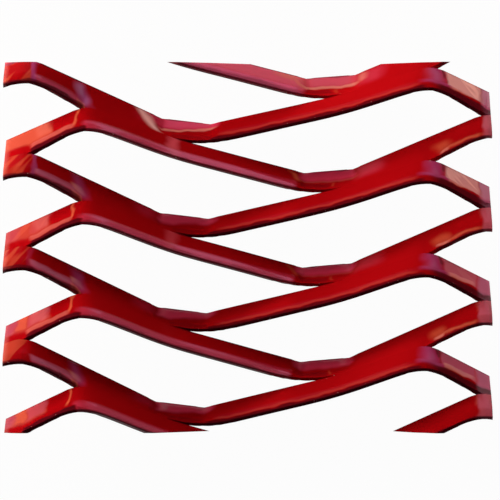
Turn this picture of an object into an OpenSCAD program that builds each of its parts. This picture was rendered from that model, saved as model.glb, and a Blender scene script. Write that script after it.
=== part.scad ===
// Cut piece of raised expanded metal sheet: plate slit in staggered rows and drawn open, so
// that every strand stands on edge and the strands meet in long slanting knots.
// The strands run along X, the rows follow each other along Y, and the sheet lies flat on its
// lowest strand edges, with the origin under the middle of the piece.

/* [Mesh] */
// Pitch of the knots along the strands
long_pitch = 168; // [140:1:210]
// Pitch of the knots across the strands
short_pitch = 38.8; // [32:0.1:48]
// Width of a strand, from cut to cut
strand_w = 12.3; // [10:0.1:14]
// Thickness of the plate that the mesh is made from
plate_t = 2; // [1.6:0.1:2.4]
// Length of a knot, where two strands stay joined
knot_l = 37.4; // [30:0.1:46]
// Sideways step from the knots of one row to the nearest knots of the next
row_shift = 60.8; // [52:0.1:74]

/* [Tooth] */
// Length of the flat tip of the tooth that draws the strands
tip_l = 20.5; // [16:0.1:25]
// How far the tooth draws a strand out of the plate
tooth_d = 25.4; // [20:0.1:30]
// How far a knot drops from its one end to its other
knot_drop = 17.5; // [14:0.1:21]
// Share by which each strand is drawn further than the one behind it
draw_gain = 0.024; // [0:0.001:0.03]
// Width of the dent that the tip leaves along the upper edge
dent_w = 7.2; // [6:0.1:8]
// Depth of that dent
dent_d = 1.6; // [0:0.1:2]

/* [Cut edges] */
// How far the edge that the tooth shears past curls over
curl_d = 1.3; // [0.4:0.1:1.6]
// Width that a strand gives up where that edge curls
curl_trim = 0.9; // [0.4:0.1:1.2]
// Gap between the two cut edges where a slit starts to open
slit_gap = 0.3; // [0.2:0.05:0.6]
// Length over which the bends of the lower edges are rounded, to either side
bend_l = 10; // [2:0.5:12]

/* [Piece] */
// How many short pitches the piece is wide
pitches = 4; // [3:1:6]
// How far the left cut runs past the ends of the knots there
left_past = 9.4; // [6:0.1:24]
// How far the right cut runs past the ends of the knots there
right_past = 2.8; // [2:0.1:24]
// How far the back cut runs past the crests of the second strand
back_past = 0; // [-3:0.1:3]
// Turn of the mesh in the square-cut piece, in degrees
mesh_turn = 1; // [-3:0.1:3]
// Sideways creep of the rows, for each millimetre across the piece
row_creep = 0.004; // [-0.05:0.001:0.05]

/* [Hidden] */

row_pitch = short_pitch / 2;
strand_angle = acos(strand_w / row_pitch);
row_push = strand_w * tan(strand_angle);
slit_l = long_pitch - knot_l;
flank_l = (slit_l - tip_l) / 2;
knot_x = (long_pitch - row_shift) / 2;
link_l = row_shift - knot_l;
tip_start = knot_x + knot_l / 2 + flank_l;
tip_end = tip_start + tip_l;

piece_w = pitches * short_pitch;
piece_l = long_pitch + link_l + left_past + right_past;
mesh_x = (left_past - right_past) / 2;
mesh_y = piece_w / 2 + row_pitch - back_past;
middle_row = pitches + 1;

function wrap(v) = v - long_pitch * floor(v / long_pitch);
function ramp(v) = max(0, min(1, v));
function mix(a, b, share) = a + (b - a) * share;

// Rows of strands alternate as mirror images, and are drawn further from back to front.
function side(row) = 2 * abs(row % 2) - 1;
function drawn(row) = 1 + draw_gain * (row - middle_row);

// Distance of place v along a strand from the nearest of the places like centre
function distance(v, centre) = abs(wrap(v - centre + long_pitch / 2) - long_pitch / 2);
function from_upper_knot(v, row) = distance(side(row) * v, knot_x) - knot_l / 2;
function from_lower_knot(v, row) = distance(side(row) * v, -knot_x) - knot_l / 2;

// How far the two edges of a strand are drawn out of the plate at place v along it
function upper_push(v, row) =
    let (q = wrap(side(row) * v - knot_x - knot_l / 2))
    drawn(row) * (
        q < slit_l
            ? tooth_d * ramp(min(q, slit_l - q) / flank_l) + knot_drop * q / slit_l
            : knot_drop * (long_pitch - q) / knot_l
    );

// The upper push, averaged over reach to either side
function rounded_push(v, row, reach) =
    (upper_push(v - reach, row) + upper_push(v + reach, row)
     + 2 * upper_push(v - reach / 2, row) + 2 * upper_push(v + reach / 2, row)
     + 2 * upper_push(v, row)) / 8;

// How much further the lower edge is drawn than the upper one at an end of its slit
function lag(v, row) = row_push + upper_push(v, row + 1) - upper_push(v, row);

// Two places closer than this count as one.
hair = 0.001;

// The lower edge follows the strand below in a knot. Along its slit it follows its own upper
// edge, with rounder bends, and runs in to the knots over the length of a link.
function lower_push(v, row) =
    from_lower_knot(v, row) < hair
        ? row_push + upper_push(v, row + 1)
        : let (q = wrap(side(row) * v + knot_x - knot_l / 2))
          rounded_push(v, row, min(bend_l, q, slit_l - q))
          + lag(side(row) * (knot_l / 2 - knot_x), row) * ramp(1 - q / link_l)
          + lag(side(row) * (-knot_l / 2 - knot_x), row) * ramp(1 - (slit_l - q) / link_l);

// How far open the slits above and below a strand are, from 0 at their ends to 1
// where their edges are fully formed
gap_run = 6;
function upper_open(v, row) = ramp(from_upper_knot(v, row) / gap_run);
function lower_open(v, row) = ramp(from_lower_knot(v, row) / gap_run);

// Depth of the tooth's dent at place v, at share f of the way down the strand. It is
// deepest at a crease, and fades out past the ends of the tip.
crease = dent_w / strand_w;
dent_fade = 3;
function dent(v, row, f) =
    let (from_tip = distance(side(row) * v, tip_start + tip_l / 2) - tip_l / 2)
    dent_d * ramp(1 - from_tip / dent_fade) * min(f / crease, (1 - f) / (1 - crease));

// Curl of the lower edge, which starts at the crease. The back follows part of the way.
function curl(v, row, f) = curl_d * lower_open(v, row) * pow(ramp((f - crease) / (1 - crease)), 2);
back_curl = 0.6;

function middle_push(v, row, f) = mix(upper_push(v, row), lower_push(v, row), f);
function face_push(v, row, f) = middle_push(v, row, f) + dent(v, row, f) + curl(v, row, f);
function back_push(v, row, f) =
    let (slope = (middle_push(v + 1, row, f) - middle_push(v - 1, row, f)) / 2)
    middle_push(v, row, f) + dent(v, row, f) + back_curl * curl(v, row, f)
    + plate_t * sqrt(1 + slope * slope);

// A point of the drawn mesh, at share f of the way down the strand in a row
function strand_point(v, row, f, push) =
    let (
        half_gap = slit_gap / 2,
        upper_gap = half_gap * upper_open(v, row),
        lower_gap = (half_gap + curl_trim * f) * lower_open(v, row),
        across = strand_w * f + upper_gap * (1 - f) - lower_gap * f,
        y = mesh_y - row * row_pitch - across * cos(strand_angle) - push * sin(strand_angle)
    )
    [v + mesh_x + row_creep * y, y, across * sin(strand_angle) - push * cos(strand_angle)];

// The piece is tipped and raised until the lowest corner of every row lies on the ground.
function lowest_corner(row) =
    strand_point(side(row) * tip_end, row, 0, back_push(side(row) * tip_end, row, 0));
first_low = lowest_corner(middle_row - pitches);
last_low = lowest_corner(middle_row + pitches);
tip_angle = atan2(last_low.z - first_low.z, first_low.y - last_low.y);
lift = -(first_low.y * sin(tip_angle) + first_low.z * cos(tip_angle));

// Section of a strand: down its face from the upper edge, and back up behind
face_shares = [0, crease / 2, crease, mix(crease, 1, 0.4), mix(crease, 1, 0.75), 1];
back_shares = [1, crease, 0];
last_face = len(face_shares) - 1;
ring = len(face_shares) + len(back_shares);

function section(v, row) = concat(
    [for (f = face_shares) strand_point(v, row, f, face_push(v, row, f))],
    [for (f = back_shares) strand_point(v, row, f, back_push(v, row, f))]
);

// Rows that reach into the piece
strand_drop = strand_w * cos(strand_angle) + upper_push(tip_end, -middle_row) + plate_t;
first_row = ceil((mesh_y - piece_w / 2 - strand_drop) / row_pitch) - 1;
last_row = floor((mesh_y + piece_w / 2) / row_pitch) + 1;

// Places along the strands where a section stands, the same in every row: at each bend of
// either kind of row, and at even steps between them. The steps grow with the piece, so that
// their number in all rows together stays about the same.
reach_x = piece_l / 2 + abs(mesh_x) + piece_w * (sin(abs(mesh_turn)) + abs(row_creep));
steps_in_all = 550;
step_l = 2 * reach_x * (last_row - first_row + 1) / steps_in_all;

// The numbers in list from low to high, each once
function sorted(list) =
    len(list) < 2 ? list : concat(
        sorted([for (v = list) if (v < list[0] - hair) v]),
        [list[0]],
        sorted([for (v = list) if (v > list[0] + hair) v])
    );
bends = sorted([
    for (v = [0, knot_x - knot_l / 2, knot_x + knot_l / 2, tip_start, tip_end, long_pitch / 2])
        distance(v, 0)
]);
half_places = [
    for (b = [0:len(bends) - 2])
        let (steps = ceil((bends[b + 1] - bends[b]) / step_l))
        for (k = [0:steps - 1]) mix(bends[b], bends[b + 1], k / steps)
];
period_places = concat(
    [for (k = [len(half_places) - 1:-1:1]) -half_places[k]],
    half_places,
    [long_pitch / 2]
);
last_period = ceil((reach_x + step_l) / long_pitch);
places = [
    for (p = [-last_period:last_period], v = period_places)
        if (abs(v + p * long_pitch) < reach_x + 2 * step_l) v + p * long_pitch
];
last_place = len(places) - 1;

// Corner k of section i in a row. Two strands share their corners in a knot.
function corner(row, i, k) =
    row < last_row && (k == last_face || k == last_face + 1) && from_lower_knot(places[i], row) < hair
        ? corner(row + 1, i, k == last_face ? 0 : ring - 1)
        : ((row - first_row) * len(places) + i) * ring + k;

// Whether the wall after corner k, between sections i and i + 1, is inside a knot
function within_knot(row, i, k) =
    let (v = (places[i] + places[i + 1]) / 2)
    (k == last_face && row < last_row && from_lower_knot(v, row) < 0)
    || (k == ring - 1 && row > first_row && from_upper_knot(v, row) < 0);

sheet_points = [
    for (row = [first_row:last_row], v = places, p = section(v, row)) p
];
sheet_faces = [
    for (row = [first_row:last_row]) each concat(
        [
            for (i = [0:last_place - 1], k = [0:ring - 1])
                if (!within_knot(row, i, k))
                    let (next = (k + 1) % ring)
                    each [
                        [corner(row, i, k), corner(row, i + 1, next), corner(row, i, next)],
                        [corner(row, i, k), corner(row, i + 1, k), corner(row, i + 1, next)]
                    ]
        ],
        [
            [for (k = [0:ring - 1]) corner(row, 0, k)],
            [for (k = [ring - 1:-1:0]) corner(row, last_place, k)]
        ]
    )
];

module expanded_sheet()
    color("firebrick")
    intersection() {
        rotate([0, 0, -mesh_turn])
            translate([0, 0, lift])
            rotate([tip_angle, 0, 0])
            polyhedron(sheet_points, sheet_faces);
        translate([-piece_l / 2, -piece_w / 2, -1]) cube([piece_l, piece_w, 2 * short_pitch]);
    }

expanded_sheet();
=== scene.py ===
from collections import namedtuple
from math import acos, atan2, ceil, cos, floor, hypot, radians, sin, sqrt, tan

import bmesh
import bpy
from mathutils import Matrix, Vector, noise


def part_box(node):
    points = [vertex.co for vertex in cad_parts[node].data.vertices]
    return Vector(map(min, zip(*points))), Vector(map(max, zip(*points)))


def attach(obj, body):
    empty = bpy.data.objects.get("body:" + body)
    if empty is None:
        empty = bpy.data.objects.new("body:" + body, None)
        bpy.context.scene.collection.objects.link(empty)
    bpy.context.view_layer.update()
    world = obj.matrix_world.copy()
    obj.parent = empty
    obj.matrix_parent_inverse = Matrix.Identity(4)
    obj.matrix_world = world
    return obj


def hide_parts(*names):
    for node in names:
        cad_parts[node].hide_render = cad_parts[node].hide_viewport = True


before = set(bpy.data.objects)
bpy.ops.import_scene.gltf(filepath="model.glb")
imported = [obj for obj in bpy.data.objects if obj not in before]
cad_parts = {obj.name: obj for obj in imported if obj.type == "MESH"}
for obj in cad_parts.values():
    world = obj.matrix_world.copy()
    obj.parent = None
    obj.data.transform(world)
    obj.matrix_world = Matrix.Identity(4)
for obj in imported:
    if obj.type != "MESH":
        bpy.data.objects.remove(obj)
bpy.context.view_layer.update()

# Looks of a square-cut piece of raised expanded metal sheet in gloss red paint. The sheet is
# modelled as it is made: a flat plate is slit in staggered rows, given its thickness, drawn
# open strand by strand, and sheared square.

MM = 0.001
SHEET_NODE = "expanded_sheet"
PIECE_NAME = "expanded_mesh"

# Sizes of the mesh in millimetres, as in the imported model
LONG_PITCH = 168.0
SHORT_PITCH = 38.8
STRAND_W = 12.3
PLATE_T = 2.0
KNOT_L = 37.4
ROW_SHIFT = 60.8
TIP_L = 20.5
TOOTH_D = 25.4
KNOT_DROP = 17.5
DRAW_GAIN = 0.024
DENT_W = 7.2
DENT_D = 1.6
CURL_D = 1.3
CURL_TRIM = 0.9
BACK_CURL = 0.6
SLIT_GAP = 0.3
BEND_L = 10.0
PITCHES = 4
LEFT_PAST = 9.4
RIGHT_PAST = 2.8
MESH_TURN = 1.0
ROW_CREEP = 0.004

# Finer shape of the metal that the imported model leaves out
TIP_ROUND = 1.0        # rounding of the bends at the tooth's tip, to either side
KNOT_ROUND = 5.0       # rounding of the bends at the ends of the knots
CURL_POWER = 1.7       # how late below the crease the lower edge curls
DENT_FADE = 3.0        # length over which a dent runs out at its ends
GAP_RUN = 6.0          # length over which a slit opens
WAVE_D = 0.12          # height of the faint waves in the drawn metal
WAVE_L = 26.0          # length of those waves along the strands
WAVE_SQUEEZE = 2.2     # how much shorter they are across the plate
WAVE_SLICE = 3.7       # which slice of the noise they come from
CUT_BEVEL = 0.24       # width of the broken corners at the cut edges
CUT_SEGMENTS = 2       # faces across such a corner
SLOPE_REACH = 1        # reach to either side over which a strand's slope is measured
SPECK = 0.002          # an edge this short is dissolved
HAIR = 0.001           # two places closer than this count as one
SECTION_STEP = 1.9     # longest step between the sections of a strand
SHARE_STEPS = 8        # steps across a strand, above its crease and again below it
STRAND_STEPS = 2 * SHARE_STEPS

# Parts of the sheet's surface. A vertex of the plate is on its front or its back.
FRONT, BACK, SLIT_WALL, SHEARED = range(4)

# The strands' map and ranks, which place the painted light, reflections and shade in the paint
MAP_L = 100.0          # millimetres along a strand to one unit of its map
HINDMOST_ROW = 0       # row of the hindmost strand in the piece, which has rank 0
BEHIND = 0.3           # strength of the patches of painted light and shade, and of gloss, on the backs of the strands

# Sizes that follow from those above
ROW_PITCH = SHORT_PITCH / 2
STRAND_ANGLE = acos(STRAND_W / ROW_PITCH)
ROW_PUSH = STRAND_W * tan(STRAND_ANGLE)
SLIT_L = LONG_PITCH - KNOT_L
FLANK_L = (SLIT_L - TIP_L) / 2
KNOT_X = (LONG_PITCH - ROW_SHIFT) / 2
LINK_L = ROW_SHIFT - KNOT_L
TIP_START = KNOT_X + KNOT_L / 2 + FLANK_L
TIP_END = TIP_START + TIP_L
PIECE_W = PITCHES * SHORT_PITCH
PIECE_L = LONG_PITCH + LINK_L + LEFT_PAST + RIGHT_PAST
MESH_X = (LEFT_PAST - RIGHT_PAST) / 2
MESH_Y = PIECE_W / 2 + ROW_PITCH
MIDDLE_ROW = PITCHES + 1
CREASE = DENT_W / STRAND_W


# Shape of a strand

def ramp(value):
    """A value kept between 0 and 1."""
    return max(0.0, min(1.0, value))


def mix(a, b, share):
    """The value at a share of the way from a to b."""
    return a + (b - a) * share


def side(row):
    """Rows of strands alternate as mirror images."""
    return 1 if row % 2 else -1


def distance(v, centre):
    """Distance of place v along a strand from the nearest of the places like centre."""
    return abs((v - centre + LONG_PITCH / 2) % LONG_PITCH - LONG_PITCH / 2)


def from_upper_knot(v, row):
    """Distance of place v from the knot with the strand above, negative inside it."""
    return distance(side(row) * v, KNOT_X) - KNOT_L / 2


def from_lower_knot(v, row):
    """Distance of place v from the knot with the strand below, negative inside it."""
    return distance(side(row) * v, -KNOT_X) - KNOT_L / 2


def tooth_push(v, row):
    """How far the tooth draws the upper edge out of the plate, with sharp bends."""
    q = (side(row) * v - KNOT_X - KNOT_L / 2) % LONG_PITCH
    if q < SLIT_L:
        push = TOOTH_D * ramp(min(q, SLIT_L - q) / FLANK_L) + KNOT_DROP * q / SLIT_L
    else:
        push = KNOT_DROP * (LONG_PITCH - q) / KNOT_L
    return push * (1 + DRAW_GAIN * (row - MIDDLE_ROW))


def averaged(curve, v, row, reach):
    """A curve averaged over reach to either side, which rounds its bends."""
    return (curve(v - reach, row) + curve(v + reach, row)
            + 2 * curve(v - reach / 2, row) + 2 * curve(v + reach / 2, row)
            + 2 * curve(v, row)) / 8


def upper_push(v, row):
    """The tooth's push with its bends rounded, most of all at the ends of the knots."""
    at_knot = ramp(1 - max(0, from_upper_knot(v, row)) / (2 * KNOT_ROUND))
    return averaged(tooth_push, v, row, mix(TIP_ROUND, KNOT_ROUND, at_knot))


def lag(v, row):
    """How much further the lower edge is drawn than the upper one at an end of its slit."""
    return ROW_PUSH + upper_push(v, row + 1) - upper_push(v, row)


def lower_push(v, row):
    """The lower edge follows the strand below in a knot, and its own upper edge along a slit."""
    if from_lower_knot(v, row) < HAIR:
        return ROW_PUSH + upper_push(v, row + 1)
    q = (side(row) * v + KNOT_X - KNOT_L / 2) % LONG_PITCH
    return (averaged(upper_push, v, row, min(BEND_L, q, SLIT_L - q))
            + lag(side(row) * (KNOT_L / 2 - KNOT_X), row) * ramp(1 - q / LINK_L)
            + lag(side(row) * (-KNOT_L / 2 - KNOT_X), row) * ramp(1 - (SLIT_L - q) / LINK_L))


def opening(from_knot):
    """How far open a slit is, from 0 at its ends to 1."""
    return ramp(from_knot / GAP_RUN)


def dent(v, row, f):
    """Dent that the tooth leaves at place v, at share f of the way down the strand."""
    from_tip = distance(side(row) * v, TIP_START + TIP_L / 2) - TIP_L / 2
    return DENT_D * ramp(1 - from_tip / DENT_FADE) * min(f / CREASE, (1 - f) / (1 - CREASE))


def curl(v, row, f):
    """Curl of the lower edge, where the tooth shears past it."""
    return CURL_D * opening(from_lower_knot(v, row)) * ramp((f - CREASE) / (1 - CREASE)) ** CURL_POWER


def wave(v, s):
    """Faint unevenness of drawn metal, at place v and s across the plate."""
    return WAVE_D * noise.noise(Vector((v / WAVE_L, WAVE_SQUEEZE * s / WAVE_L, WAVE_SLICE)))


# The sheet

def section_places():
    """Places along the strands where a section stands: every bend, and even steps between."""
    bends = sorted({round(distance(v, 0), 3) for v in (
        0, KNOT_X - KNOT_L / 2, KNOT_X + KNOT_L / 2, TIP_START, TIP_END, LONG_PITCH / 2)})
    half = []
    for start, end in zip(bends, bends[1:]):
        steps = ceil((end - start) / SECTION_STEP)
        half += [mix(start, end, k / steps) for k in range(steps)]
    period = [-v for v in half[:0:-1]] + half + [LONG_PITCH / 2]
    reach = PIECE_L / 2 + abs(MESH_X) + PIECE_W * sin(radians(MESH_TURN)) + SECTION_STEP
    return sorted(v + p * LONG_PITCH for p in (-1, 0, 1) for v in period
                  if abs(v + p * LONG_PITCH) < reach)


def strand_shares():
    """Shares of the way down a strand where a line of vertices runs, one of them its crease."""
    steps = range(SHARE_STEPS)
    return ([CREASE * k / SHARE_STEPS for k in steps]
            + [mix(CREASE, 1, k / SHARE_STEPS) for k in steps] + [1.0])


def slit_plate(bm, places, rows):
    """Flat plate as a grid, with a slit between every two strands outside their knots."""
    lines = len(rows) * STRAND_STEPS
    columns = len(places) - 1
    bmesh.ops.create_grid(bm, x_segments=columns, y_segments=lines, size=1)
    place = bm.verts.layers.int.new("place")
    line = bm.verts.layers.int.new("line")
    for v in bm.verts:
        v[place] = round((v.co.x + 1) / 2 * columns)
        v[line] = round((1 - v.co.y) / 2 * lines)
    strand = bm.faces.layers.int.new("strand")
    for f in bm.faces:
        f[strand] = min(v[line] for v in f.verts) // STRAND_STEPS
    slits = []
    for e in bm.edges:
        a, b = e.verts
        if a[line] == b[line] and a[line] % STRAND_STEPS == 0:
            middle = (places[a[place]] + places[b[place]]) / 2
            row = rows[0] + a[line] // STRAND_STEPS
            if len(e.link_faces) == 2 and from_upper_knot(middle, row) > 0:
                slits.append(e)
    bmesh.ops.split_edges(bm, edges=slits)
    own = bm.verts.layers.int.new("strand")
    for v in bm.verts:
        v[own] = max(f[strand] for f in v.link_faces)
        v[line] -= v[own] * STRAND_STEPS


def thicken(bm):
    """Gives the plate its back and the walls of its slits."""
    back = bm.verts.layers.int.new("back")
    part = bm.faces.layers.int.new("part")
    made = bmesh.ops.extrude_face_region(
        bm, geom=bm.faces[:] + bm.edges[:] + bm.verts[:], use_keep_orig=True)["geom"]
    for g in made:
        if isinstance(g, bmesh.types.BMVert):
            g[back] = BACK
    for f in bm.faces:
        sides = {v[back] for v in f.verts}
        f[part] = SLIT_WALL if len(sides) > 1 else sides.pop()
    bmesh.ops.recalc_face_normals(bm, faces=bm.faces[:])


def draw_open(bm, places, rows):
    """Moves every vertex of the slit plate to its place in the drawn mesh."""
    place, line = bm.verts.layers.int["place"], bm.verts.layers.int["line"]
    own, back = bm.verts.layers.int["strand"], bm.verts.layers.int["back"]
    edge_mm = bm.verts.layers.float.new("edge_mm")
    curled = bm.verts.layers.float.new("curled")
    lip = bm.verts.layers.float.new("lip")
    cut = bm.verts.layers.float.new("cut")
    shares = strand_shares()
    edges = {}
    for row in rows:
        for i, v in enumerate(places):
            before, here, after = ((upper_push(v + d, row), lower_push(v + d, row))
                                   for d in (-SLOPE_REACH, 0, SLOPE_REACH))
            slopes = ((b - a) / (2 * SLOPE_REACH) for a, b in zip(before, after))
            edges[row, i] = (*here, *slopes)
    for vert in bm.verts:
        row, i, f = rows[0] + vert[own], vert[place], shares[vert[line]]
        v = places[i]
        upper, lower, upper_slope, lower_slope = edges[row, i]
        push = mix(upper, lower, f) + dent(v, row, f) + wave(v, (row + f) * STRAND_W)
        push += curl(v, row, f) * (1 if vert[back] == FRONT else BACK_CURL)
        if vert[back] == BACK:
            push += PLATE_T * sqrt(1 + mix(upper_slope, lower_slope, f) ** 2)
        above, below = from_upper_knot(v, row), from_lower_knot(v, row)
        trim = SLIT_GAP / 2 + CURL_TRIM * f
        across = STRAND_W * f + SLIT_GAP / 2 * opening(above) * (1 - f) - trim * opening(below) * f
        y = MESH_Y - row * ROW_PITCH - across * cos(STRAND_ANGLE) - push * sin(STRAND_ANGLE)
        z = across * sin(STRAND_ANGLE) - push * cos(STRAND_ANGLE)
        vert.co = (v + MESH_X + ROW_CREEP * y, y, z)
        vert[edge_mm] = min(hypot(f * STRAND_W, min(0, above)),
                            hypot((1 - f) * STRAND_W, min(0, below)))
        vert[curled] = opening(below) * ramp((f - CREASE) / (1 - CREASE))
        vert[lip] = dent(v, row, CREASE) / DENT_D if f > CREASE else 0.0
        if f == 1:
            vert[cut] = opening(below)
        elif f == 0 and vert[back] == BACK:
            vert[cut] = opening(above)


def map_strands(bm, places, rows):
    """Gives every face its place along the strands and its share of the way down its own."""
    place, line = bm.verts.layers.int["place"], bm.verts.layers.int["line"]
    own, strand = bm.verts.layers.int["strand"], bm.faces.layers.int["strand"]
    odd = bm.faces.layers.float.new("odd_row")
    rank = bm.faces.layers.float.new("rank")
    face = bm.faces.layers.float.new("face")
    part = bm.faces.layers.int["part"]
    uv = bm.loops.layers.uv.new("strand_map")
    shares = strand_shares()
    for f in bm.faces:
        f[odd] = (rows[0] + f[strand]) % 2
        f[face] = BEHIND if f[part] == BACK else 1.0
        f[rank] = (rows[0] + f[strand] - HINDMOST_ROW) / (2 * PITCHES)
        for loop in f.loops:
            share = shares[loop.vert[line]] if loop.vert[own] == f[strand] else 1.0
            loop[uv].uv = (places[loop.vert[place]] / MAP_L, share)


def break_cut_edges(bm):
    """Breaks the corners along the walls of the slits."""
    part = bm.faces.layers.int["part"]
    corners = [e for e in bm.edges if len(e.link_faces) == 2
               and sum(f[part] == SLIT_WALL for f in e.link_faces) == 1]
    bmesh.ops.bevel(bm, geom=corners, offset=CUT_BEVEL, offset_type="OFFSET", segments=CUT_SEGMENTS,
                    profile=0.5, affect="EDGES", clamp_overlap=True, material=-1)


def lay_down(bm, rows):
    """Tips the mesh until its first and last rows both touch the ground, and turns it."""
    own = bm.verts.layers.int["strand"]
    lows = []
    for row in (MIDDLE_ROW - PITCHES, MIDDLE_ROW + PITCHES):
        lows.append(min((v.co for v in bm.verts if v[own] == row - rows[0]
                         and abs(v.co.x) < PIECE_L / 2), key=lambda co: co.z))
    tip = atan2(lows[1].z - lows[0].z, lows[0].y - lows[1].y)
    bmesh.ops.transform(bm, matrix=Matrix.Rotation(radians(-MESH_TURN), 4, "Z")
                        @ Matrix.Rotation(tip, 4, "X"), verts=bm.verts)


def shear(bm, point, outward):
    """Cuts off what lies beyond a plane and closes the sheared strands."""
    cut = bmesh.ops.bisect_plane(bm, geom=bm.verts[:] + bm.edges[:] + bm.faces[:], dist=HAIR * MM,
                                 plane_co=point, plane_no=outward, clear_outer=True)
    rim = [g for g in cut["geom_cut"] if isinstance(g, bmesh.types.BMEdge)]
    part = bm.faces.layers.int["part"]
    for f in bmesh.ops.holes_fill(bm, edges=rim, sides=0)["faces"]:
        f[part] = SHEARED


def drop_offcuts(bm):
    """Removes slivers that the shears left loose from the sheet, which is the largest island."""
    found, sheet = set(), set()
    for start in bm.verts:
        if start in found:
            continue
        island, front = {start}, [start]
        while front:
            v = front.pop()
            for other in (e.other_vert(v) for e in v.link_edges):
                if other not in island:
                    island.add(other)
                    front.append(other)
        found |= island
        sheet = max(sheet, island, key=len)
    bmesh.ops.delete(bm, geom=[v for v in bm.verts if v not in sheet], context="VERTS")


def make_sheet():
    """The sheet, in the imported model's box."""
    low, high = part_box(SHEET_NODE)
    drop = STRAND_W * cos(STRAND_ANGLE) + TOOTH_D + KNOT_DROP + PLATE_T
    first = ceil((MESH_Y - PIECE_W / 2 - drop) / ROW_PITCH) - 1
    last = floor((MESH_Y + PIECE_W / 2) / ROW_PITCH) + 1
    rows = list(range(first, last + 1))
    places = section_places()
    bm = bmesh.new()
    slit_plate(bm, places, rows)
    thicken(bm)
    map_strands(bm, places, rows)
    draw_open(bm, places, rows)
    break_cut_edges(bm)
    lay_down(bm, rows)
    bmesh.ops.scale(bm, vec=(MM, MM, MM), verts=bm.verts)
    for point, outward in ((low, (-1, 0, 0)), (high, (1, 0, 0)), (low, (0, -1, 0)), (high, (0, 1, 0))):
        shear(bm, point, outward)
    drop_offcuts(bm)
    bmesh.ops.dissolve_degenerate(bm, dist=SPECK * MM, edges=bm.edges[:])
    bottom = min(v.co.z for v in bm.verts)
    bmesh.ops.translate(bm, vec=(0, 0, low.z - bottom), verts=bm.verts)
    bmesh.ops.recalc_face_normals(bm, faces=bm.faces[:])
    part = bm.faces.layers.int["part"]
    for f in bm.faces:
        f.smooth = f[part] != SHEARED
    mesh = bpy.data.meshes.new(PIECE_NAME)
    bm.to_mesh(mesh)
    bm.free()
    piece = bpy.data.objects.new(PIECE_NAME, mesh)
    bpy.context.scene.collection.objects.link(piece)
    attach(piece, "root")
    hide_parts(SHEET_NODE)
    return piece


# Finishes

# Colours of the film: its plain red, then painted light, painted reflections, painted highlights,
# painted shade at the edges, and the primer in chips
PAINT_DEEP = (0.38, 0.0015, 0.004, 1)
PAINT_BRIGHT = (0.48, 0.003, 0.006, 1)
# Painted light
PAINT_LIT_RED = (0.72, 0.006, 0.01, 1)
# Painted reflections, mauve and violet
PAINT_MAUVE_REFLECTION = (0.85, 0.05, 0.125, 1)
PAINT_VIOLET_REFLECTION = (0.5, 0.1, 0.36, 1)
# Painted highlights, orange and pale
PAINT_ORANGE_HIGHLIGHT = (0.93, 0.2, 0.085, 1)
PAINT_PALE_HIGHLIGHT = (1.0, 0.36, 0.28, 1)
# Painted shade
PAINT_SHADE = (0.095, 0.004, 0.01, 1)
PRIMER = (0.45, 0.2, 0.18, 1)

# Gloss: only the coat shines, and its weight comes from the patches
PAINT_SPECULAR = 0.0
COAT_ROUGHNESS = 0.12
COAT_IOR = 1.7
ROUGHNESS_RANGE = (0.28, 0.4)

# Noise of the film, each as its scale and detail
STAIN = (45.0, 3.0)        # cloudy colour
FLECK = (620.0, 2.0)       # chips
PEEL = (520.0, 1.0)        # orange peel
SWELL = (130.0, 1.0)       # waves of the film
STREAK = (1.0, 1.0)        # streaks of the size below
STREAK_SIZE = (0.022, 0.003, 0.022)
STREAK_TURN = 48.0         # their slant in degrees
PEEL_HEIGHT = 0.000004
SWELL_HEIGHT = 0.00007
NOISE_MIDDLE = 0.5
SWAY_ALONG = 0.05          # how far the film's waves shift a patch along a strand
SWAY_DOWN = 0.2            # and how far down it

# Where a mask starts to show and where it is full
LEFT_RIM = (-0.0990, -0.1014)    # metres from the middle of the piece
FIRST_RANK = (0.2, 0.15)         # the two hindmost rows
BACK_RANK = (0.8, 0.2)           # rows at the back, less and less towards the front
INNER_RANK = (0.97, 0.9)         # all rows but the foremost
STREAK_LIMITS = (0.45, 0.61)
STAIN_LIMITS = (0.2, 0.8)        # stain at which the film is least and most rough
CHIP_LIMITS = (0.70, 0.74)
CHIP_REACH = (1.2, 0.2)          # millimetres from an edge of a strand
MARGIN_CURL = (0.0, 0.5)         # share of the way down the curled margin
MARGIN_SHARE = 0.8               # strength of the gloss on the curled margins
MARGIN_MAUVE_REFLECTION = 0.7               # strength of the painted mauve reflection there, as a share of the gloss
EVEN_CUT_SHADE = 0.5                  # share of the painted shade on the cut edges that even rows keep, beside odd ones

# A soft-edged patch, placed on the strand map: a mask of painted light, painted shade or painted
# reflection in the film's colour, or of its gloss. It has the rows it is on, where it starts and ends
# along the strands and down them, how soft it is in either direction, and its strength. With a slant
# it gets lower along the strand, and with a lean it gets further along on its way down.
Patch = namedtuple("Patch", "rows along down soft strength slant lean", defaults=(0, 0))
ENDLESS = 9
WHOLE = (-ENDLESS, ENDLESS)

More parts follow.
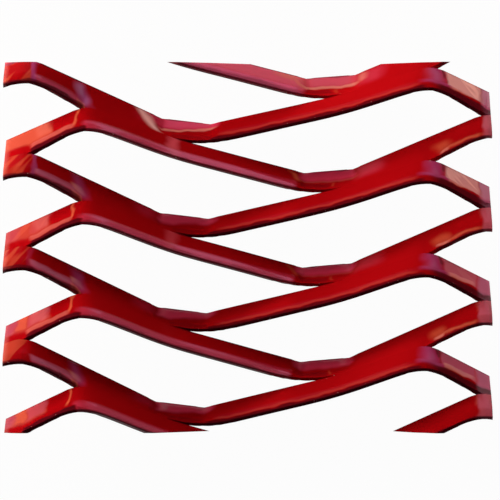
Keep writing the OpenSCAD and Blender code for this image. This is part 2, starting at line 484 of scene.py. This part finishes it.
GLOSS_PATCHES = (
    Patch("even", (-ENDLESS, -0.86), (-ENDLESS, 0.72), (0.01, 0.1), 0.2),  # outer left links
    Patch("odd", (-ENDLESS, -0.94), WHOLE, (0.01, 0.1), 0.06),  # left ends
    Patch("back_odd", (0.785, ENDLESS), (-ENDLESS, 0.66), (0.008, 0.03), 1.0),  # outer right links
    Patch("front_odd", (0.785, ENDLESS), (-ENDLESS, 0.66), (0.008, 0.03), 0.3),
    Patch("odd", (-0.775, -0.735), (0.1, 0.9), (0.022, 0.15), 0.5, 0, 0.035),  # by the left slits
    Patch("first_odd", (-0.515, -0.475), (0.05, 0.85), (0.024, 0.12), 1.0, 0, 0.07),
    Patch("odd", (-0.39, -0.20), (-ENDLESS, 0.4), (0.02, 0.1), 0.4, -1),  # dents
    Patch("even", (0.21, 0.39), (-ENDLESS, 0.4), (0.02, 0.1), 0.4),
    Patch("back_even", (0.42, 0.52), (0.1, 0.7), (0.04, 0.2), 0.12),
    Patch("odd", (0.71, 0.765), (-ENDLESS, 0.75), (0.035, 0.15), 0.3),  # by the right slits
    Patch("inner_even", (0.75, 0.93), (0.72, 0.9), (0.01, 0.06), 0.5, 0.6),
    Patch("first_even", (-ENDLESS, 0.18), WHOLE, (0.03, 0.1), 0.4),  # hindmost strand
    Patch("left_rim", WHOLE, WHOLE, (0.1, 0.1), 0.25),  # sheared ends
    Patch("odd", (0.94, ENDLESS), WHOLE, (0.01, 0.1), 0.35),
    Patch("even", (0.94, ENDLESS), WHOLE, (0.01, 0.1), 0.3),
)

# The curled margins: gloss, and a painted mauve reflection there too
MARGIN_PATCHES = (
    Patch("even", (-0.73, 0.17), WHOLE, (0.02, 0.1), 1.0),
    Patch("odd", (-0.93, -0.745), WHOLE, (0.01, 0.1), 1.0),
    Patch("odd", (-0.15, 0.66), WHOLE, (0.05, 0.1), 0.2),
)

# Painted light: a brighter red on faces that are lit more, and over the shade that neighbouring strands
# cast
LIT_RED_PATCHES = (
    Patch("first_odd", (0.10, 0.75), WHOLE, (0.2, 0.1), 0.5),
    Patch("first_even", (0.10, 0.75), WHOLE, (0.2, 0.1), 0.5),
    Patch("later_odd", (-0.22, 0.15), WHOLE, (0.04, 0.1), 0.4),
    Patch("odd", (0.40, 0.72), WHOLE, (0.2, 0.1), 0.2),
    Patch("even", (0.40, 0.72), WHOLE, (0.2, 0.1), 0.3),
    Patch("even", (0.42, 0.90), (-ENDLESS, 0.4), (0.05, 0.3), 0.5),
)

# Painted reflection: mauve, at the dents, the bends and on the hindmost strand
MAUVE_REFLECTION_PATCHES = (
    Patch("odd", (-0.50, -0.42), (-ENDLESS, 0.6), (0.04, 0.25), 0.3),
    Patch("first_odd", (-0.47, -0.40), (-ENDLESS, 0.5), (0.02, 0.2), 0.7, 0, 0.05),
    Patch("odd", (-0.41, -0.17), (-ENDLESS, 0.5), (0.02, 0.12), 1.0, -1),
    Patch("first_even", (0.18, 0.42), (-ENDLESS, 0.42), (0.02, 0.12), 0.8),
    Patch("later_even", (0.18, 0.42), (-ENDLESS, 0.42), (0.02, 0.12), 1.0),
    Patch("back_even", (-0.375, -0.335), WHOLE, (0.02, 0.1), 0.65),
    Patch("back_even", (0.43, 0.53), (0.05, 0.75), (0.035, 0.2), 0.4),
    Patch("front_odd", (0.785, ENDLESS), (-ENDLESS, 0.66), (0.008, 0.03), 0.45),
    Patch("first_even", (-ENDLESS, 0.19), WHOLE, (0.02, 0.1), 1.0),
)

# Painted highlights: orange, on the left links, at the slits and before the dents
ORANGE_HIGHLIGHT_PATCHES = (
    Patch("streaked_even", (-ENDLESS, -0.865), (-ENDLESS, 0.66), (0.012, 0.1), 0.3),
    Patch("back_even", (-ENDLESS, -0.875), (-ENDLESS, 0.66), (0.012, 0.1), 0.38, 0, 0.03),
    Patch("front_even", (-ENDLESS, -0.875), (-ENDLESS, 0.66), (0.012, 0.1), 0.2, 0, 0.03),
    Patch("front_even", (-1.0, -0.945), (-ENDLESS, 0.6), (0.012, 0.1), 0.4),
    Patch("even", (-0.765, -0.753), (-ENDLESS, 0.75), (0.005, 0.1), 0.5, 0, -0.01),
    Patch("streaked_odd", (-ENDLESS, -0.945), WHOLE, (0.01, 0.1), 0.25),
    Patch("odd", (-0.76, -0.73), (0.82, ENDLESS), (0.006, 0.06), 0.5),
    Patch("first_even", (0.08, 0.17), (-ENDLESS, 0.3), (0.04, 0.15), 0.5),
    Patch("back_even", (0.125, 0.15), (0.1, 0.6), (0.012, 0.1), 0.45, 0, 0.07),  # before the dents
    Patch("even", (0.32, 0.335), (0.55, 0.85), (0.006, 0.06), 0.15),
    Patch("inner_even", (0.71, 0.77), (0.5, 0.85), (0.02, 0.15), 0.35, 0, 0.05),  # by right slits
    Patch("inner_even", (0.76, 0.93), (0.78, 0.88), (0.02, 0.05), 0.45, 0.4),
    Patch("odd", (-0.15, 0.66), (0.76, 0.86), (0.03, 0.03), 0.12),
)

# Painted highlights: pale pink, on the right links, the sheared ends, along the left links and on the
# creases of the dents
PALE_HIGHLIGHT_PATCHES = (
    Patch("back_odd", (0.79, 0.93), (-ENDLESS, 0.64), (0.008, 0.03), 0.6),
    Patch("back_streaked_odd", (0.79, 0.93), (-ENDLESS, 0.64), (0.008, 0.03), 1.0),
    Patch("odd", (0.80, 0.925), (0.56, 0.76), (0.012, 0.05), 0.5, -1.2),
    Patch("left_rim", WHOLE, WHOLE, (0.1, 0.1), 0.12),
    Patch("even", (0.94, ENDLESS), WHOLE, (0.01, 0.1), 0.2),
    Patch("odd", (0.94, ENDLESS), WHOLE, (0.01, 0.1), 0.2),
    Patch("inner_even", (-0.945, -0.77), (0.67, 0.85), (0.012, 0.04), 0.26),  # along left links
    Patch("inner_even", (-0.935, -0.88), (-ENDLESS, 0.55), (0.012, 0.1), 0.12, 0, 0.03),
    Patch("front_even", (0.93, 0.99), (-ENDLESS, 0.5), (0.012, 0.1), 0.15),
    Patch("later_odd", (-0.93, -0.745), (0.64, 0.84), (0.01, 0.06), 0.22),
    Patch("later_odd", (-0.785, -0.75), (0.52, 0.78), (0.015, 0.08), 0.65, 0, 0.035),
    Patch("first_even", (0.18, 0.42), (-ENDLESS, 0.42), (0.02, 0.12), 0.12),
    Patch("back_even", (-0.375, -0.335), WHOLE, (0.02, 0.1), 0.15),
    Patch("first_odd", (-0.515, -0.475), (0.05, 0.85), (0.024, 0.12), 0.9, 0, 0.07),
    Patch("first_odd", (-0.41, -0.18), (0.51, 0.60), (0.02, 0.04), 0.7, -1.2),  # under the dents
    Patch("first_even", (0.18, 0.42), (0.40, 0.52), (0.02, 0.05), 0.75),
    Patch("first_even", (0.425, 0.455), (0.1, 0.5), (0.015, 0.1), 0.45),
    Patch("back_even", (0.18, 0.42), (0.44, 0.52), (0.02, 0.05), 0.13),
    Patch("inner_even", (0.76, 0.80), (0.84, 0.93), (0.01, 0.03), 0.5, 0.3),
)

# Painted reflection: violet, by the slits, on the outer links and at the sheared ends
VIOLET_REFLECTION_PATCHES = (
    Patch("first_odd", (-0.775, -0.735), (0.1, 0.9), (0.022, 0.15), 0.65, 0, 0.035),
    Patch("later_odd", (-0.775, -0.735), (0.1, 0.9), (0.022, 0.15), 0.45, 0, 0.035),
    Patch("back_odd", (-0.945, -0.925), WHOLE, (0.008, 0.1), 0.5),
    Patch("front_even", (-0.94, -0.865), (-ENDLESS, 0.6), (0.012, 0.1), 0.15),
    Patch("front_even", (-ENDLESS, -1.0), (-ENDLESS, 0.66), (0.02, 0.1), 0.25),
    Patch("later_odd", (-0.93, -0.745), (0.64, 0.84), (0.01, 0.06), 0.3),
    Patch("front_odd", (0.785, 0.93), (-ENDLESS, 0.58), (0.008, 0.05), 0.15),
    Patch("odd", (0.715, 0.765), (-ENDLESS, 0.72), (0.035, 0.15), 0.5),
    Patch("odd", (0.69, 0.80), (0.6, 0.76), (0.03, 0.06), 0.4),
    Patch("odd", (0.94, ENDLESS), WHOLE, (0.01, 0.1), 0.4),
    Patch("even", (0.94, ENDLESS), WHOLE, (0.01, 0.1), 0.18),
)

# Painted shade: under the curled lower edges, at the sheared ends and along upper edges
SHADE_PATCHES = (
    Patch("front_even", (-ENDLESS, -1.0), WHOLE, (0.03, 0.1), 0.2),
    Patch("front_odd", (-ENDLESS, -0.945), WHOLE, (0.01, 0.1), 0.12),
    Patch("first_even", (-ENDLESS, 0.2), (0.84, ENDLESS), (0.05, 0.1), 0.6),
    Patch("odd", (-ENDLESS, -0.735), (0.9, ENDLESS), (0.01, 0.04), 0.8),
    Patch("odd", (-0.36, -0.20), (0.64, 0.9), (0.01, 0.05), 0.3),
    Patch("odd", (-0.20, 0.70), (0.88, ENDLESS), (0.02, 0.04), 0.85),
    Patch("odd", (0.74, ENDLESS), (0.75, ENDLESS), (0.03, 0.05), 0.9),
    Patch("odd", (-0.93, -0.20), (-ENDLESS, 0.03), (0.02, 0.03), 0.5),  # upper edges
    Patch("even", (-0.34, 0.42), (-ENDLESS, 0.03), (0.02, 0.03), 0.5),
    Patch("odd", (0.768, 0.782), (-ENDLESS, 0.36), (0.004, 0.08), 0.6),
    Patch("even", (-0.95, -0.72), (0.86, ENDLESS), (0.01, 0.04), 0.95),
    Patch("even", (-0.72, 0.18), (0.93, ENDLESS), (0.01, 0.03), 0.35),
    Patch("even", (0.19, 0.31), (0.6, 0.88), (0.01, 0.05), 0.4),
    Patch("even", (0.76, 0.95), (0.95, ENDLESS), (0.01, 0.02), 0.6),
)


def add_node(tree, kind, **values):
    """A node with its properties and input values set by name."""
    made = tree.nodes.new(kind)
    for name, value in values.items():
        if hasattr(made, name):
            setattr(made, name, value)
        else:
            made.inputs[name.replace("_", " ")].default_value = value
    return made


def add_links(tree, *pairs):
    """Links given as (node, output, node, input), where a socket has its name or number."""
    for source, output, target, entry in pairs:
        tree.links.new(source.outputs[output], target.inputs[entry])


def add_sum(tree, operation, first, second, clamp=False):
    """A Math node; its inputs are numbers or (node, output name)."""
    made = add_node(tree, "ShaderNodeMath", operation=operation, use_clamp=clamp)
    for socket, given in zip(made.inputs, (first, second)):
        if isinstance(given, tuple):
            tree.links.new(given[0].outputs[given[1]], socket)
        else:
            socket.default_value = given
    return made, "Value"


def add_ramp(tree, given, low, high, to_low=0.0, to_high=1.0):
    """A smooth step between two values, while the given (node, output name) goes from low to
    high."""
    made = add_node(tree, "ShaderNodeMapRange", interpolation_type="SMOOTHSTEP")
    for name, value in (("From Min", low), ("From Max", high), ("To Min", to_low), ("To Max", to_high)):
        made.inputs[name].default_value = value
    tree.links.new(given[0].outputs[given[1]], made.inputs["Value"])
    return made, "Result"


def add_noise(tree, vector, scale, detail):
    """A noise pattern over the given (node, output name)."""
    made = add_node(tree, "ShaderNodeTexNoise", Scale=scale, Detail=detail)
    add_links(tree, (*vector, made, "Vector"))
    return made, "Fac"


def add_band(tree, mask, given, limits, soft):
    """Keeps a mask only where the given (node, output name) is between two limits."""
    low, high = limits
    if low > -ENDLESS:
        mask = add_sum(tree, "MULTIPLY", mask, add_ramp(tree, given, low - soft, low + soft))
    if high < ENDLESS:
        mask = add_sum(tree, "MULTIPLY", mask, add_ramp(tree, given, high + soft, high - soft))
    return mask


def add_patches(tree, patches, along, down, rows):
    """The strongest of some patches, as one mask."""
    mask = None
    for patch in patches:
        place, level = along, down
        if patch.lean:
            place = add_sum(tree, "SUBTRACT", along, add_sum(tree, "MULTIPLY", down, patch.lean))
        if patch.slant:
            start = add_sum(tree, "SUBTRACT", along, patch.along[0])
            level = add_sum(tree, "SUBTRACT", down, add_sum(tree, "MULTIPLY", start, patch.slant))
        made = add_sum(tree, "MULTIPLY", rows[patch.rows], patch.strength)
        made = add_band(tree, made, place, patch.along, patch.soft[0])
        made = add_band(tree, made, level, patch.down, patch.soft[1])
        mask = add_sum(tree, "MAXIMUM", mask, made) if mask else made
    return mask


def add_mix(tree, share, below, colour):
    """Lays a colour over the one below, given as a colour or (node, output name)."""
    made = add_node(tree, "ShaderNodeMix", data_type="RGBA")
    made.inputs["B"].default_value = colour
    if isinstance(below[0], float):
        made.inputs["A"].default_value = below
    else:
        tree.links.new(below[0].outputs[below[1]], made.inputs["A"])
    tree.links.new(share[0].outputs[share[1]], made.inputs["Factor"])
    return made, "Result"


def strand_place(tree, swell):
    """Place along the strand and share down it, both swaying with the film's waves."""
    strand = add_node(tree, "ShaderNodeUVMap", uv_map="strand_map")
    split = add_node(tree, "ShaderNodeSeparateXYZ")
    add_links(tree, (strand, "UV", split, "Vector"))
    sway = add_sum(tree, "SUBTRACT", swell, NOISE_MIDDLE)
    along = add_sum(tree, "ADD", (split, "X"), add_sum(tree, "MULTIPLY", sway, SWAY_ALONG))
    down = add_sum(tree, "ADD", (split, "Y"), add_sum(tree, "MULTIPLY", sway, SWAY_DOWN))
    return along, down


def add_streaks(tree, where):
    """Slanting streaks, as mirror images on either side of the middle of the piece."""
    from_middle = add_sum(tree, "ABSOLUTE", (where, "X"), 0.0)
    mirrored = add_node(tree, "ShaderNodeCombineXYZ")
    turned = add_node(tree, "ShaderNodeMapping", vector_type="TEXTURE",
                      Rotation=(0, 0, radians(STREAK_TURN)), Scale=STREAK_SIZE)
    add_links(tree, (*add_sum(tree, "MULTIPLY", from_middle, -1.0), mirrored, "X"),
              (where, "Y", mirrored, "Y"), (where, "Z", mirrored, "Z"),
              (mirrored, "Vector", turned, "Vector"))
    return add_noise(tree, (turned, "Vector"), *STREAK)


def row_masks(tree, surface, where):
    """The rows that a patch can be on, by name, each as a mask that is weaker behind."""
    odd = add_sum(tree, "MULTIPLY", surface["odd_row"], surface["face"])
    rows = {"odd": odd, "even": add_sum(tree, "SUBTRACT", surface["face"], odd),
            "left_rim": add_ramp(tree, (where, "X"), *LEFT_RIM)}
    first = add_ramp(tree, surface["rank"], *FIRST_RANK)
    back = add_ramp(tree, surface["rank"], *BACK_RANK)
    inner = add_ramp(tree, surface["rank"], *INNER_RANK)
    streaked = add_ramp(tree, add_streaks(tree, where), *STREAK_LIMITS)
    for name in ("odd", "even"):
        for kind, share in (("first_", first), ("back_", back), ("streaked_", streaked)):
            rows[kind + name] = add_sum(tree, "MULTIPLY", share, rows[name])
        for kind, others in (("later_", "first_"), ("front_", "back_")):
            rows[kind + name] = add_sum(tree, "SUBTRACT", rows[name], rows[others + name], clamp=True)
    rows["back_streaked_odd"] = add_sum(tree, "MULTIPLY", streaked, rows["back_odd"])
    rows["inner_even"] = add_sum(tree, "MULTIPLY", rows["even"], inner)
    return rows


def red_paint():
    """Gloss red enamel: a glossy film on the curled margins, in the dents and on the outer
    links, with painted light, painted mauve and violet reflections at the bends, painted orange and
    pale highlights, painted shade along the edges, an orange peel, and small chips at the edges."""
    material = bpy.data.materials.new("red_paint")
    material.use_nodes = True
    tree = material.node_tree
    shader = tree.nodes["Principled BSDF"]
    shader.inputs["Specular IOR Level"].default_value = PAINT_SPECULAR
    shader.inputs["Coat Roughness"].default_value = COAT_ROUGHNESS
    shader.inputs["Coat IOR"].default_value = COAT_IOR
    place = add_node(tree, "ShaderNodeTexCoord")
    where = add_node(tree, "ShaderNodeSeparateXYZ")
    add_links(tree, (place, "Object", where, "Vector"))
    names = ("edge_mm", "curled", "lip", "cut", "face", "odd_row", "rank")
    surface = {name: (add_node(tree, "ShaderNodeAttribute", attribute_name=name), "Fac")
               for name in names}
    stain, fleck, peel, swell = (add_noise(tree, (place, "Object"), *kind)
                                 for kind in (STAIN, FLECK, PEEL, SWELL))
    along, down = strand_place(tree, swell)
    rows = row_masks(tree, surface, where)
    margin, gloss, lit_red, mauve_reflection, orange, pale_highlight, violet, painted_shade = (
        add_patches(tree, patches, along, down, rows) for patches in (
            MARGIN_PATCHES, GLOSS_PATCHES, LIT_RED_PATCHES, MAUVE_REFLECTION_PATCHES, ORANGE_HIGHLIGHT_PATCHES,
            PALE_HIGHLIGHT_PATCHES, VIOLET_REFLECTION_PATCHES, SHADE_PATCHES))

    # The curled margins shine, apart from where shade is painted or what lies under a dent
    margin = add_sum(tree, "MULTIPLY", add_ramp(tree, surface["curled"], *MARGIN_CURL), margin)
    covered = add_sum(tree, "MAXIMUM", painted_shade, surface["lip"])
    margin = add_sum(tree, "SUBTRACT", margin, covered, clamp=True)
    margin = add_sum(tree, "MULTIPLY", margin, MARGIN_SHARE)
    gloss = add_sum(tree, "MAXIMUM", gloss, margin)
    add_links(tree, (*gloss, shader, "Coat Weight"))

    # The shining margins also get a painted mauve reflection
    mauve_reflection = add_sum(tree, "MAXIMUM", mauve_reflection, add_sum(tree, "MULTIPLY", margin, MARGIN_MAUVE_REFLECTION))
    # Painted shade on the cut walls and lower edges, weaker on the even rows
    even_less = add_ramp(tree, rows["even"], 0.0, 1.0, 1.0, EVEN_CUT_SHADE)
    shaded_cut_edge = add_sum(tree, "MULTIPLY", surface["cut"], even_less)
    chip = add_sum(tree, "MULTIPLY", add_ramp(tree, fleck, *CHIP_LIMITS),
                   add_ramp(tree, surface["edge_mm"], *CHIP_REACH))
    # Over the stained red go painted light, painted reflections and highlights, painted shade, and the
    # primer at chips
    colour = add_mix(tree, stain, PAINT_DEEP, PAINT_BRIGHT)
    for share, over in ((lit_red, PAINT_LIT_RED), (mauve_reflection, PAINT_MAUVE_REFLECTION), (orange, PAINT_ORANGE_HIGHLIGHT),
                        (pale_highlight, PAINT_PALE_HIGHLIGHT), (violet, PAINT_VIOLET_REFLECTION), (painted_shade, PAINT_SHADE),
                        (shaded_cut_edge, PAINT_SHADE), (chip, PRIMER)):
        colour = add_mix(tree, share, colour, over)
    dull = add_ramp(tree, stain, *STAIN_LIMITS, *ROUGHNESS_RANGE)
    add_links(tree, (*colour, shader, "Base Color"), (*dull, shader, "Roughness"))

    height = add_sum(tree, "ADD", add_sum(tree, "MULTIPLY", peel, PEEL_HEIGHT),
                     add_sum(tree, "MULTIPLY", swell, SWELL_HEIGHT))
    bump = add_node(tree, "ShaderNodeBump", Strength=1.0, Distance=1.0)
    add_links(tree, (*height, bump, "Height"), (bump, "Normal", shader, "Normal"),
              (bump, "Normal", shader, "Coat Normal"))
    return material


def pale_floor():
    """Floor that takes light and shadow, and is nearly plain white to all that see it."""
    material = bpy.data.materials.new("pale_floor")
    material.use_nodes = True
    tree = material.node_tree
    tree.nodes.clear()
    out = add_node(tree, "ShaderNodeOutputMaterial")
    lit = add_node(tree, "ShaderNodeBsdfDiffuse", Color=FLOOR_COLOUR)
    white = add_node(tree, "ShaderNodeEmission", Color=(1, 1, 1, 1), Strength=1.0)
    ray = add_node(tree, "ShaderNodeLightPath")
    both = add_node(tree, "ShaderNodeMixShader")
    seen = add_sum(tree, "MAXIMUM", (ray, "Is Camera Ray"), (ray, "Is Glossy Ray"))
    seen = add_sum(tree, "MAXIMUM", seen, (ray, "Is Transmission Ray"))
    add_links(tree, (*add_sum(tree, "MULTIPLY", seen, FLOOR_WHITE), both, "Fac"),
              (lit, "BSDF", both, 1), (white, "Emission", both, 2), (both, "Shader", out, "Surface"))
    return material


# Floor, light and camera

FLOOR_SIZE = 12.0
FLOOR_COLOUR = (0.95, 0.95, 0.95, 1)
FLOOR_WHITE = 0.97         # share of plain white in the floor, as it is seen
WORLD_STRENGTH = 0.08
WORLD_COLOUR = (0.85, 0.9, 1.0, 1)
SHEET_MIDDLE = (0, 0, 0.02)

# Soft lamps, which light the paint but don't show in its gloss, and cards, which only show there
Panel = namedtuple("Panel", "name at towards size power tint card", defaults=(False,))
PANELS = (
    Panel("left_strip", (-0.36, 0.14, 0.09), (-0.08, 0, 0.01), (0.35, 0.1), 1.15, (1.0, 0.8, 0.68)),
    Panel("right_strip", (0.27, 0.11, 0.09), (0.08, 0, 0.01), (0.35, 0.1), 0.27, (1.0, 0.85, 0.75)),
    Panel("back_panel", (-1.3, 1.2, 0.45), SHEET_MIDDLE, (1.6, 0.8), 16, (1.0, 0.85, 0.8)),
    Panel("violet_card", (0.78, 0.72, 0.48), SHEET_MIDDLE, (1.4, 0.95), 1.7, (1.0, 0.42, 0.72), True),
    Panel("pink_card", (0.15, 1.1, 0.25), SHEET_MIDDLE, (0.9, 0.5), 2.0, (1.0, 0.45, 0.75), True),
    Panel("orange_card", (-0.8, 0.75, 0.1), SHEET_MIDDLE, (0.8, 0.2), 0.7, (1.0, 0.5, 0.25), True),
)

# The camera looks straight down, as in the photograph
CAMERA_AT = (0.00105, -0.001155, 1.2210)
CAMERA_LENS = 206.6
SENSOR_W = 36.0
CLIP_START = 0.05


def make_floor():
    """Wide floor that the sheet lies on."""
    bm = bmesh.new()
    bmesh.ops.create_grid(bm, x_segments=1, y_segments=1, size=FLOOR_SIZE / 2)
    mesh = bpy.data.meshes.new("floor")
    bm.to_mesh(mesh)
    bm.free()
    mesh.materials.append(pale_floor())
    floor_object = bpy.data.objects.new("floor", mesh)
    bpy.context.scene.collection.objects.link(floor_object)


def add_panel(panel):
    """A lamp or card that faces a point."""
    light = bpy.data.lights.new(panel.name, "AREA")
    light.shape = "RECTANGLE"
    light.size, light.size_y = panel.size
    light.energy = panel.power
    light.color = panel.tint
    lamp = bpy.data.objects.new(panel.name, light)
    lamp.location = panel.at
    facing = Vector(panel.towards) - Vector(panel.at)
    lamp.rotation_euler = facing.to_track_quat("-Z", "Y").to_euler()
    lamp.visible_camera = False
    lamp.visible_diffuse = not panel.card
    lamp.visible_glossy = panel.card
    bpy.context.scene.collection.objects.link(lamp)


def make_light():
    """Faint light from all round, and the lamps and cards."""
    world = bpy.data.worlds.new("studio")
    bpy.context.scene.world = world
    world.use_nodes = True
    back = world.node_tree.nodes["Background"]
    back.inputs["Color"].default_value = WORLD_COLOUR
    back.inputs["Strength"].default_value = WORLD_STRENGTH
    for panel in PANELS:
        add_panel(panel)


def make_camera():
    """The photograph's view."""
    lens = bpy.data.cameras.new("camera")
    lens.lens = CAMERA_LENS
    lens.sensor_width = SENSOR_W
    lens.clip_start = CLIP_START
    camera = bpy.data.objects.new("camera", lens)
    camera.location = CAMERA_AT
    bpy.context.scene.collection.objects.link(camera)
    bpy.context.scene.camera = camera


bpy.context.scene.view_settings.view_transform = "Standard"
make_camera()
sheet = make_sheet()
sheet.data.materials.append(red_paint())
make_floor()
make_light()
